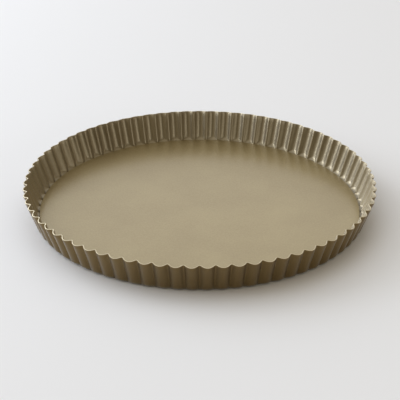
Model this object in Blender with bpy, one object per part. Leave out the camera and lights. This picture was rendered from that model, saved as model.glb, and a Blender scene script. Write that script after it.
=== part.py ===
"""Loose-bottomed fluted tart pan: a pressed sheet-steel ring and a flat round base that lifts out of it.

World frame: the origin is the centre of the underside and +Z is up, along the pan's axis.
All sizes are in metres.
"""

from math import atan, cos, pi, radians, sin, sqrt, tan

import bmesh
import bpy
from mathutils import Vector

# Ring: driving dimensions
RIM_RADIUS = 0.1409           # axis to the outer face of the flutes, at the rim
HEIGHT = 0.0254               # underside to the top of the ridges, the highest places on the rim
RING_SHEET = 0.0008           # thickness of the ring's steel
CREST_LEAN = radians(20.3)    # how far the outermost line of a flute leans out from vertical
LEDGE_WIDTH = 0.0095          # flat part of the inturned ledge that carries the base
FOLD_REACH = 0.0013           # from the end of the flat ledge to the foot of an inward ridge

# Flutes
FLUTES = 75
RIM_FLUTE_DEPTH = 0.0028      # crest to ridge, measured towards the axis, at the rim
FOOT_FLUTE_DEPTH = 0.0024     # the same at the ledge
RIM_DIP = 0.0009              # how much lower the rim lies on a crest than on a ridge
RIDGE_SHARE = 0.22            # part of a flute's width that the narrow inward ridge takes
FIRST_RIDGE = -pi / 2         # one ridge points straight to the front

# Base
BASE_SHEET = 0.0010           # thickness of the base's steel
BASE_EDGE_RADIUS = 0.0003     # rounding of the base's cut edge
BASE_SIDE_CLEARANCE = 0.0004  # base's edge to the ridges
SEAT_GAP = 0.0003             # base's underside to the ledge

# Mesh fineness
FLUTE_STEPS = (0.0, 0.11, 0.3, 0.5, 0.7, 0.89)     # places across one flute, from ridge to ridge
FOLD_STEPS = 3                                     # flats in the fold between ledge and wall
BASE_SIDES = 2 * FLUTES
BASE_EDGE_STEPS = 2
ROUND_PROFILE = 0.5           # the bevel's setting for a quarter circle
SLOPE_STEP = 1e-4             # part of a flute over which the wall's slope is measured
SHARP_ANGLE = radians(35)     # edges that turn more than this stay crisp

# Coating
FLAKE_SHARE = 0.8             # how metallic the gold flake makes the coating
RING_COLOUR = (0.29, 0.23, 0.11)
BASE_COLOUR = (0.33, 0.25, 0.11)
SATIN = 0.32                  # roughness of the baked coating


def flute_depth_share(place):
    """0 on a flute's crest, 1 on the ridge between two flutes; place counts flutes from a ridge.

    Two parabolas that meet on one tangent: a wide one for the outward scallop and a narrow one for the ridge.
    """
    from_ridge = abs((place + 0.5) % 1.0 - 0.5)
    ridge_half = RIDGE_SHARE / 2
    if from_ridge < ridge_half:
        return 1 - RIDGE_SHARE * (from_ridge / ridge_half) ** 2
    return (1 - RIDGE_SHARE) * ((0.5 - from_ridge) / (0.5 - ridge_half)) ** 2


# Middle of the sheet: where the wall starts and ends, and where the flat ledge ends
half_sheet = RING_SHEET / 2
ridge_rim_level = HEIGHT - half_sheet * sin(CREST_LEAN)
crest_rim_level = ridge_rim_level - RIM_DIP
crest_rim_radius = RIM_RADIUS - half_sheet * cos(CREST_LEAN)
crest_foot_radius = crest_rim_radius - (crest_rim_level - half_sheet) * tan(CREST_LEAN)
seat_radius = crest_foot_radius - FOOT_FLUTE_DEPTH - FOLD_REACH
ledge_inner_radius = seat_radius - LEDGE_WIDTH


def wall_line(place):
    """Radius at the foot, radius and height at the rim, and lean of the wall at one place across a flute."""
    share = flute_depth_share(place)
    foot = crest_foot_radius - FOOT_FLUTE_DEPTH * share
    rim = crest_rim_radius - RIM_FLUTE_DEPTH * share
    rim_level = crest_rim_level + RIM_DIP * share
    return foot, rim, rim_level, atan((rim - foot) / (rim_level - half_sheet))


def fold_radius(place):
    """Radius of the round fold that joins the flat ledge to the wall, tangent to both."""
    foot, _, _, lean = wall_line(place)
    return (foot - seat_radius) / tan((pi / 2 - lean) / 2)


def meridian(place):
    """Middle of the sheet from the ledge's inner edge to the rim: (radius, height, direction) rows."""
    _, rim, rim_level, lean = wall_line(place)
    bend = fold_radius(place)
    rows = [(ledge_inner_radius, half_sheet, 0.0)]
    for step in range(FOLD_STEPS + 1):
        turned = (pi / 2 - lean) * step / FOLD_STEPS
        radius = seat_radius + bend * sin(turned)
        height = half_sheet + bend * (1 - cos(turned))
        rows.append((radius, height, turned))
    rows.append((rim, rim_level, pi / 2 - lean))
    return rows


def on_circle(radius, angle, height):
    return Vector((radius * cos(angle), radius * sin(angle), height))


def sheet_point(place, row):
    """Point of the middle surface and its unit normal, which points out of the pan and down."""
    pitch = 2 * pi / FLUTES
    angle = FIRST_RIDGE + place * pitch
    radius, height, direction = meridian(place)[row]
    before_radius, before_height, _ = meridian(place - SLOPE_STEP)[row]
    after_radius, after_height, _ = meridian(place + SLOPE_STEP)[row]
    along = (on_circle(after_radius, angle + SLOPE_STEP * pitch, after_height)
             - on_circle(before_radius, angle - SLOPE_STEP * pitch, before_height))
    upward = Vector((cos(direction) * cos(angle), cos(direction) * sin(angle), sin(direction)))
    return on_circle(radius, angle, height), along.cross(upward).normalized()


def finish_object(name, mesh_builder, material):
    mesh = bpy.data.meshes.new(name)
    mesh_builder.to_mesh(mesh)
    mesh_builder.free()
    mesh.materials.append(material)
    mesh.shade_smooth()
    mesh.set_sharp_from_angle(angle=SHARP_ANGLE)
    piece = bpy.data.objects.new(name, mesh)
    bpy.context.scene.collection.objects.link(piece)
    return piece


def coated_steel(name, colour):
    """Steel under a baked-on non-stick coating with gold-coloured metal flake."""
    material = bpy.data.materials.new(name)
    material.use_nodes = True
    shader = material.node_tree.nodes["Principled BSDF"]
    shader.inputs["Base Color"].default_value = (*colour, 1.0)
    shader.inputs["Metallic"].default_value = FLAKE_SHARE
    shader.inputs["Roughness"].default_value = SATIN
    return material


def build_fluted_ring():
    """One closed skin: up the outside of the sheet, over the rim and back down the inside."""
    builder = bmesh.new()
    row_count = len(meridian(0.0))
    loops = []
    for flute in range(FLUTES):
        for step in FLUTE_STEPS:
            outside = []
            inside = []
            for row in range(row_count):
                middle, normal = sheet_point(flute + step, row)
                outside.append(builder.verts.new(middle + half_sheet * normal))
                inside.append(builder.verts.new(middle - half_sheet * normal))
            loops.append(outside + inside[::-1])
    for index, loop in enumerate(loops):
        neighbour = loops[(index + 1) % len(loops)]
        for corner, vertex in enumerate(loop):
            following = (corner + 1) % len(loop)
            builder.faces.new((vertex, neighbour[corner], neighbour[following], loop[following]))
    bmesh.ops.recalc_face_normals(builder, faces=builder.faces)
    return finish_object("fluted_ring", builder, coated_steel("gold_nonstick_ring", RING_COLOUR))


def ridge_face_radius(height):
    """Inner face of the fold at a ridge, which is what the base's edge has to clear."""
    bend = fold_radius(0.0)
    below_centre = half_sheet + bend - height
    return seat_radius + sqrt((bend - half_sheet) ** 2 - below_centre ** 2)


def build_loose_base():
    """A round blank with its cut edges rounded off, lying flat on the ledge."""
    underside = RING_SHEET + SEAT_GAP
    radius = ridge_face_radius(underside) - BASE_SIDE_CLEARANCE
    builder = bmesh.new()
    bmesh.ops.create_circle(builder, cap_ends=True, segments=BASE_SIDES, radius=radius)
    raised = bmesh.ops.extrude_face_region(builder, geom=builder.faces[:])["geom"]
    upper_vertices = [part for part in raised if isinstance(part, bmesh.types.BMVert)]
    bmesh.ops.translate(builder, verts=upper_vertices, vec=(0, 0, BASE_SHEET))
    edge_ring = [edge for edge in builder.edges if edge.verts[0].co.z == edge.verts[1].co.z]
    bmesh.ops.bevel(builder, geom=edge_ring, affect="EDGES", offset=BASE_EDGE_RADIUS,
                    segments=BASE_EDGE_STEPS, profile=ROUND_PROFILE)
    bmesh.ops.recalc_face_normals(builder, faces=builder.faces)
    base = finish_object("loose_base", builder, coated_steel("gold_nonstick_base", BASE_COLOUR))
    base.location.z = underside
    return base


for old in list(bpy.data.objects):
    bpy.data.objects.remove(old, do_unlink=True)

build_fluted_ring()
build_loose_base()
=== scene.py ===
"""Looks for a loose-bottomed fluted tart pan in gold-toned non-stick steel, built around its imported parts."""

from math import atan, cos, pi, radians, sin, tan

import bpy
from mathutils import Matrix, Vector


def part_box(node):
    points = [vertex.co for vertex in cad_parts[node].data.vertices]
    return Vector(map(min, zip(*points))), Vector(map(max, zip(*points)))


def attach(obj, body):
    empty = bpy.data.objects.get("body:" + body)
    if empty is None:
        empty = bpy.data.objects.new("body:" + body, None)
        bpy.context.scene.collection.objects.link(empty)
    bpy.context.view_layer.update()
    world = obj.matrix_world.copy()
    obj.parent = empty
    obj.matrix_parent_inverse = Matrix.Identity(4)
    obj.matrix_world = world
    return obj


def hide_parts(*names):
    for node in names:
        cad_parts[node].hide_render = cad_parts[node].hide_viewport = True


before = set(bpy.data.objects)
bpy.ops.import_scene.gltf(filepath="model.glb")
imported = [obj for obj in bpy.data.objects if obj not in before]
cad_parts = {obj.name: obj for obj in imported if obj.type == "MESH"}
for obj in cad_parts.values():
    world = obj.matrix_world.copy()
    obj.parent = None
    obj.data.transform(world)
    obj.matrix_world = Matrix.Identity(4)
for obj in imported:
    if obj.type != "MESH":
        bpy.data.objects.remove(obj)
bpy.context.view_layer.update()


# --- Fluted ring ---------------------------------------------------------------------------------
# The side of the pan: one strip of sheet steel, pressed into flutes and turned in under them as a flat
# ledge. The rim is a plain trimmed edge, and a gold-toned non-stick coat covers all of it.

MM = 0.001
FLUTES = 75
FIRST_RIDGE = -pi / 2
RING_SHEET = 0.8 * MM
CREST_LEAN = radians(20.3)
RIM_FLUTE_DEPTH = 2.8 * MM
FOOT_FLUTE_DEPTH = 2.4 * MM
RIM_DIP = 0.9 * MM
RIDGE_SHARE = 0.22
FOLD_REACH = 1.3 * MM
LEDGE_WIDTH = 9.5 * MM
EDGE_ROUNDING = 0.25 * MM

# Mesh fineness
COLUMNS = 22              # across one flute
LEDGE_STEPS = 2
FOLD_STEPS = 9
WALL_STEPS = 6
EDGE_STEPS = 3            # round each corner of a trimmed edge
SLOPE_STEP = 1e-4         # part of a flute over which the wall's slope is measured

ring_low, ring_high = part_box("fluted_ring")
half_sheet = RING_SHEET / 2
height = ring_high[2] - ring_low[2]
rim_radius = ring_high[1]
crest_level = height - half_sheet * sin(CREST_LEAN) - RIM_DIP
crest_rim = rim_radius - half_sheet * cos(CREST_LEAN)
crest_foot = crest_rim - (crest_level - half_sheet) * tan(CREST_LEAN)
seat_radius = crest_foot - FOOT_FLUTE_DEPTH - FOLD_REACH
ledge_inner = seat_radius - LEDGE_WIDTH


def flute_depth_share(place):
    """0 on a scallop's crest, 1 on the ridge between two; place counts flutes from a ridge."""
    from_ridge = abs((place + 0.5) % 1.0 - 0.5)
    ridge_half = RIDGE_SHARE / 2
    if from_ridge < ridge_half:
        return 1 - RIDGE_SHARE * (from_ridge / ridge_half) ** 2
    return (1 - RIDGE_SHARE) * ((0.5 - from_ridge) / (0.5 - ridge_half)) ** 2


def meridian(place):
    """Middle of the sheet from the ledge's inner edge to the rim: (radius, height, direction) rows."""
    share = flute_depth_share(place)
    foot = crest_foot - FOOT_FLUTE_DEPTH * share
    rim = crest_rim - RIM_FLUTE_DEPTH * share
    rim_level = crest_level + RIM_DIP * share
    lean = atan((rim - foot) / (rim_level - half_sheet))
    bend = (foot - seat_radius) / tan((pi / 2 - lean) / 2)
    rows = [(ledge_inner + LEDGE_WIDTH * step / LEDGE_STEPS, half_sheet, 0.0) for step in range(LEDGE_STEPS)]
    for step in range(FOLD_STEPS + 1):
        turned = (pi / 2 - lean) * step / FOLD_STEPS
        rows.append((seat_radius + bend * sin(turned), half_sheet + bend * (1 - cos(turned)), turned))
    fold_end_radius, fold_end_height, direction = rows[-1]
    for step in range(1, WALL_STEPS + 1):
        along = step / WALL_STEPS
        rows.append((fold_end_radius + (rim - fold_end_radius) * along,
                     fold_end_height + (rim_level - fold_end_height) * along, direction))
    return rows


def on_circle(radius, angle, level):
    return Vector((radius * cos(angle), radius * sin(angle), level))


def sheet_frames(place):
    """Per row: point on the sheet's middle, unit normal out of the pan, unit direction up the sheet."""
    pitch = 2 * pi / FLUTES
    angle = FIRST_RIDGE + place * pitch
    turn = SLOPE_STEP * pitch
    rows = zip(meridian(place), meridian(place - SLOPE_STEP), meridian(place + SLOPE_STEP))
    frames = []
    for here, before, after in rows:
        along = on_circle(after[0], angle + turn, after[1]) - on_circle(before[0], angle - turn, before[1])
        upward = Vector((cos(here[2]) * cos(angle), cos(here[2]) * sin(angle), sin(here[2])))
        frames.append((on_circle(here[0], angle, here[1]), along.cross(upward).normalized(), upward))
    return frames


def trimmed_edge(middle, normal, outward):
    """Across a trimmed edge from the normal's side to the other, with both corners rounded off."""
    points = []
    for side in (1, -1):
        for step in range(EDGE_STEPS + 1):
            turned = pi / 2 * (step if side == 1 else EDGE_STEPS - step) / EDGE_STEPS
            across = half_sheet - EDGE_ROUNDING * (1 - cos(turned))
            beyond = EDGE_ROUNDING * (sin(turned) - 1)
            points.append(middle + normal * across * side + outward * beyond)
    return points


def ring_section(place):
    """Closed section through the sheet: outer side up, over the rim, inner side down, ledge's edge."""
    frames = sheet_frames(place)
    outer = [middle + normal * half_sheet for middle, normal, _ in frames[1:-1]]
    inner = [middle - normal * half_sheet for middle, normal, _ in frames[1:-1]]
    middle, normal, upward = frames[-1]
    rim = trimmed_edge(middle, normal, upward)
    middle, normal, upward = frames[0]
    ledge_edge = trimmed_edge(middle, -normal, -upward)
    return outer + rim + inner[::-1] + ledge_edge


def new_piece(name, verts, faces):
    mesh = bpy.data.meshes.new(name)
    mesh.from_pydata([tuple(point) for point in verts], [], faces)
    mesh.validate()
    mesh.shade_smooth()
    piece = bpy.data.objects.new(name, mesh)
    bpy.context.scene.collection.objects.link(piece)
    return piece


def closed_strip(sections):
    """Faces that join each closed section to the next one and the last to the first."""
    count = len(sections[0])
    verts = [point for section in sections for point in section]
    faces = []
    for index in range(len(sections)):
        here = index * count
        there = (index + 1) % len(sections) * count
        for corner in range(count):
            following = (corner + 1) % count
            faces.append((here + corner, there + corner, there + following, here + following))
    return verts, faces


ring_sections = [ring_section(flute + column / COLUMNS)
                 for flute in range(FLUTES) for column in range(COLUMNS)]
ring = new_piece("fluted_side", *closed_strip(ring_sections))


def srgb(code):
    """sRGB hex to the linear colour that shaders take."""
    channels = [int(code[start:start + 2], 16) / 255 for start in (1, 3, 5)]
    return [c / 12.92 if c <= 0.04045 else ((c + 0.055) / 1.055) ** 2.4 for c in channels] + [1.0]


def node(tree, kind, links=(), **settings):
    """Adds one node: settings by attribute or by socket name, links as (socket, from node, output)."""
    added = tree.nodes.new(kind)
    for key, value in settings.items():
        if hasattr(added, key):
            setattr(added, key, value)
        else:
            added.inputs[key.replace("_", " ")].default_value = value
    for socket, source, output in links:
        tree.links.new(source.outputs[output], added.inputs[socket])
    return added


# The colour sockets of a Mix node, which share their names with its other sockets
COLOUR_A = 6
COLOUR_B = 7
COLOUR_OUT = 2

CLOUD_SIZE = 45 * MM
FLAKE_SIZE = 1.2 * MM     # real flake is too fine to show, so it is drawn this coarse
GRAIN_RELIEF = 0.05 * MM


def gold_coat(name, dark, light, roughness, metallic, coat_roughness):
    """Gold-toned non-stick coat on steel: satin, a little cloudy, and speckled with a fine flake."""
    material = bpy.data.materials.new(name)
    material.use_nodes = True
    tree = material.node_tree
    shader = tree.nodes["Principled BSDF"]
    shader.inputs["Metallic"].default_value = metallic
    shader.inputs["Roughness"].default_value = roughness
    shader.inputs["Coat Weight"].default_value = 1.0
    shader.inputs["Coat Roughness"].default_value = coat_roughness
    place = node(tree, "ShaderNodeTexCoord")
    clouds = node(tree, "ShaderNodeTexNoise", [("Vector", place, "Object")], Scale=1 / CLOUD_SIZE, Detail=2.0)
    flake = node(tree, "ShaderNodeTexNoise", [("Vector", place, "Object")], Scale=1 / FLAKE_SIZE, Detail=1.0)
    blend = node(tree, "ShaderNodeMath", [(0, clouds, "Fac"), (1, flake, "Fac")], operation="ADD")
    tint = node(tree, "ShaderNodeMapRange", [("Value", blend, "Value")], From_Min=0.7, From_Max=1.3)
    colour = node(tree, "ShaderNodeMix", [("Factor", tint, "Result")], data_type="RGBA")
    colour.inputs[COLOUR_A].default_value = srgb(dark)
    colour.inputs[COLOUR_B].default_value = srgb(light)
    tree.links.new(colour.outputs[COLOUR_OUT], shader.inputs["Base Color"])
    grain = node(tree, "ShaderNodeBump", [("Height", flake, "Fac")], Strength=0.12, Distance=GRAIN_RELIEF)
    tree.links.new(grain.outputs["Normal"], shader.inputs["Normal"])
    return material


# Three tints: browner outside than inside, which is painted shade that darkens the whole outer wall; darker in
# the fold at the wall's foot, which is painted shade; and paler along the trimmed edge of the rim, partly the
# coat's paler edge and partly a painted highlight where the edge faces up. The top coat is duller on the flutes
# than on the base.
OUTSIDE_PAINTED_SHADE = "#71591F"
FOLD_PAINTED_SHADE = "#7E7050"
PALER_RIM_AND_PAINTED_HIGHLIGHT = "#C9BC9A"
INWARD = -20 * MM         # the tint turns from inside to outside between these two,
OUTWARD = 40 * MM         # measured as distance from the axis along the surface's normal
FOLD_LEVEL = 1.5 * MM
ABOVE_FOLD = 3.5 * MM
NEAR_RIM = 20 * MM

ring_coat = gold_coat("gold non-stick coat on pressed steel", "#8C7F62", "#9A8D70",
                      roughness=0.36, metallic=0.8, coat_roughness=0.42)
tree = ring_coat.node_tree
shader = tree.nodes["Principled BSDF"]
inside_colour = shader.inputs["Base Color"].links[0].from_node
place = node(tree, "ShaderNodeTexCoord")
away = node(tree, "ShaderNodeVectorMath", operation="DOT_PRODUCT",
            links=[(0, place, "Object"), (1, place, "Normal")])
outside = node(tree, "ShaderNodeMapRange", [("Value", away, "Value")], From_Min=INWARD, From_Max=OUTWARD)
# Painted shade: the outside of the wall gets a darker brown than the inside, all the way round.
both_sides = node(tree, "ShaderNodeMix", data_type="RGBA",
                  links=[("Factor", outside, "Result"), (COLOUR_A, inside_colour, COLOUR_OUT)])
both_sides.inputs[COLOUR_B].default_value = srgb(OUTSIDE_PAINTED_SHADE)
level = node(tree, "ShaderNodeSeparateXYZ", [("Vector", place, "Object")])
facing = node(tree, "ShaderNodeSeparateXYZ", [("Vector", place, "Normal")])
above_fold = node(tree, "ShaderNodeMapRange", [("Value", level, "Z")], interpolation_type="SMOOTHSTEP",
                  From_Min=FOLD_LEVEL, From_Max=ABOVE_FOLD)
# Painted shade: the fold at the foot of the wall, below about 3.5 mm, is darkened.
with_fold_shade = node(tree, "ShaderNodeMix", data_type="RGBA",
                 links=[("Factor", above_fold, "Result"), (COLOUR_B, both_sides, COLOUR_OUT)])
with_fold_shade.inputs[COLOUR_A].default_value = srgb(FOLD_PAINTED_SHADE)
near_rim = node(tree, "ShaderNodeMath", [(0, level, "Z")], operation="GREATER_THAN")
near_rim.inputs[1].default_value = NEAR_RIM
facing_up = node(tree, "ShaderNodeMapRange", [("Value", facing, "Z")], From_Min=0.6, From_Max=0.85)
edge = node(tree, "ShaderNodeMath", [(0, near_rim, "Value"), (1, facing_up, "Result")], operation="MULTIPLY")
# Paler rim edge: partly the coat's paler trimmed edge, partly a painted highlight where the edge faces up.
with_rim_highlight = node(tree, "ShaderNodeMix", data_type="RGBA",
                links=[("Factor", edge, "Value"), (COLOUR_A, with_fold_shade, COLOUR_OUT)])
with_rim_highlight.inputs[COLOUR_B].default_value = srgb(PALER_RIM_AND_PAINTED_HIGHLIGHT)
tree.links.new(with_rim_highlight.outputs[COLOUR_OUT], shader.inputs["Base Color"])
ring.data.materials.append(ring_coat)
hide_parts("fluted_ring")
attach(ring, "ring")


# --- Loose base ----------------------------------------------------------------------------------
# A flat round blank, coated like the side, that lies on the ledge and lifts out. Its cut edge is slightly
# rounded.

BASE_SIDES = 4 * FLUTES
BASE_EDGE = 0.3 * MM
BASE_RINGS = 24
BASE_EDGE_STEPS = 4

base_low, base_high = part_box("loose_base")
base_radius = base_high[1]


def base_section():
    """Half section of the blank from the middle of its top to the middle of its underside."""
    flat = base_radius - BASE_EDGE
    top = [(flat * ring_count / BASE_RINGS, base_high[2]) for ring_count in range(1, BASE_RINGS + 1)]
    corner = []
    for step in range(1, BASE_EDGE_STEPS + 1):
        turned = pi / 2 * step / BASE_EDGE_STEPS
        corner.append((flat + BASE_EDGE * sin(turned), base_high[2] - BASE_EDGE * (1 - cos(turned))))
    lower_corner = [(radius, base_low[2] + base_high[2] - level) for radius, level in reversed(corner)]
    underside = [(radius, base_low[2]) for radius, level in reversed(top)]
    return top + corner + lower_corner + underside


section = base_section()
verts = [(0, 0, base_high[2]), (0, 0, base_low[2])]
for side in range(BASE_SIDES):
    angle = 2 * pi * side / BASE_SIDES
    verts += [on_circle(radius, angle, level) for radius, level in section]
faces = []
for side in range(BASE_SIDES):
    here = 2 + side * len(section)
    there = 2 + (side + 1) % BASE_SIDES * len(section)
    faces.append((0, here, there))
    faces.append((1, there + len(section) - 1, here + len(section) - 1))
    for row in range(len(section) - 1):
        faces.append((here + row, here + row + 1, there + row + 1, there + row))
base = new_piece("lift_out_base", verts, faces)
base_coat = gold_coat("gold non-stick coat on flat steel", "#9A875A", "#A69466",
                      roughness=0.4, metallic=0.75, coat_roughness=0.25)
base.data.materials.append(base_coat)
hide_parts("loose_base")
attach(base, "base")


# --- Floor, light and camera ---------------------------------------------------------------------
# A plain pale surface, lit by two cool soft panels from the left and weaker ones from the front and the
# right, inside a surround that grows brighter and cooler towards the back left.

FLOOR_SIZE = 8.0

half = FLOOR_SIZE / 2
floor_corners = [(-half, -half, 0), (half, -half, 0), (half, half, 0), (-half, half, 0)]
floor = new_piece("floor", floor_corners, [(0, 1, 2, 3)])
floor_paint = bpy.data.materials.new("matt pale worktop")
floor_paint.use_nodes = True
floor_shader = floor_paint.node_tree.nodes["Principled BSDF"]
floor_shader.inputs["Base Color"].default_value = srgb("#ECECEC")
floor_shader.inputs["Roughness"].default_value = 0.6
floor.data.materials.append(floor_paint)

TOWARD_WINDOW = Vector((-0.55, 0.55, 0.62)).normalized()

world = bpy.data.worlds.new("studio light")
world.use_nodes = True
sky = world.node_tree
background = sky.nodes["Background"]
heading = node(sky, "ShaderNodeTexCoord")
facing_window = node(sky, "ShaderNodeVectorMath", [(0, heading, "Generated")], operation="DOT_PRODUCT")
facing_window.inputs[1].default_value = TOWARD_WINDOW
glow = node(sky, "ShaderNodeMapRange", [("Value", facing_window, "Value")], interpolation_type="SMOOTHSTEP",
            From_Min=-0.5, From_Max=0.95, To_Min=0.1, To_Max=1.1)
sky.links.new(glow.outputs["Result"], background.inputs["Strength"])
coolness = node(sky, "ShaderNodeMapRange", [("Value", facing_window, "Value")], From_Min=-0.8, From_Max=0.9)
tone = node(sky, "ShaderNodeMix", [("Factor", coolness, "Result")], data_type="RGBA")
tone.inputs[COLOUR_A].default_value = srgb("#FFDC84")
tone.inputs[COLOUR_B].default_value = srgb("#F4F8FF")
sky.links.new(tone.outputs[COLOUR_OUT], background.inputs["Color"])
bpy.context.scene.world = world


def panel(name, place, width, depth, power, colour="#FFFFFF"):
    """A soft light panel that faces the middle of the pan's underside."""
    lamp = bpy.data.lights.new(name, "AREA")
    lamp.shape = "RECTANGLE"
    lamp.size = width
    lamp.size_y = depth
    lamp.energy = power
    lamp.color = srgb(colour)[:3]
    holder = bpy.data.objects.new(name, lamp)
    holder.location = place
    holder.rotation_euler = (-Vector(place)).to_track_quat("-Z", "Y").to_euler()
    bpy.context.scene.collection.objects.link(holder)


panel("window_light", (-1.3, 0.9, 1.0), width=1.0, depth=0.8, power=6, colour="#F0F5FF")
panel("low_window", (-1.3, 0.5, 0.5), width=1.8, depth=0.55, power=13, colour="#E4EEFF")
panel("front_fill", (0.95, -1.2, 0.5), width=1.2, depth=0.35, power=2.4)
panel("right_fill", (1.4, 0.1, 0.45), width=1.3, depth=0.45, power=1.0, colour="#FFF4E8")

camera = bpy.data.objects.new("camera", bpy.data.cameras.new("camera"))
camera.data.lens = 129.15
camera.location = (0.00025, -1.029, 0.5328)
camera.rotation_euler = (radians(62.95), 0, 0)
bpy.context.scene.collection.objects.link(camera)
bpy.context.scene.camera = camera
bpy.context.scene.view_settings.view_transform = "Standard"
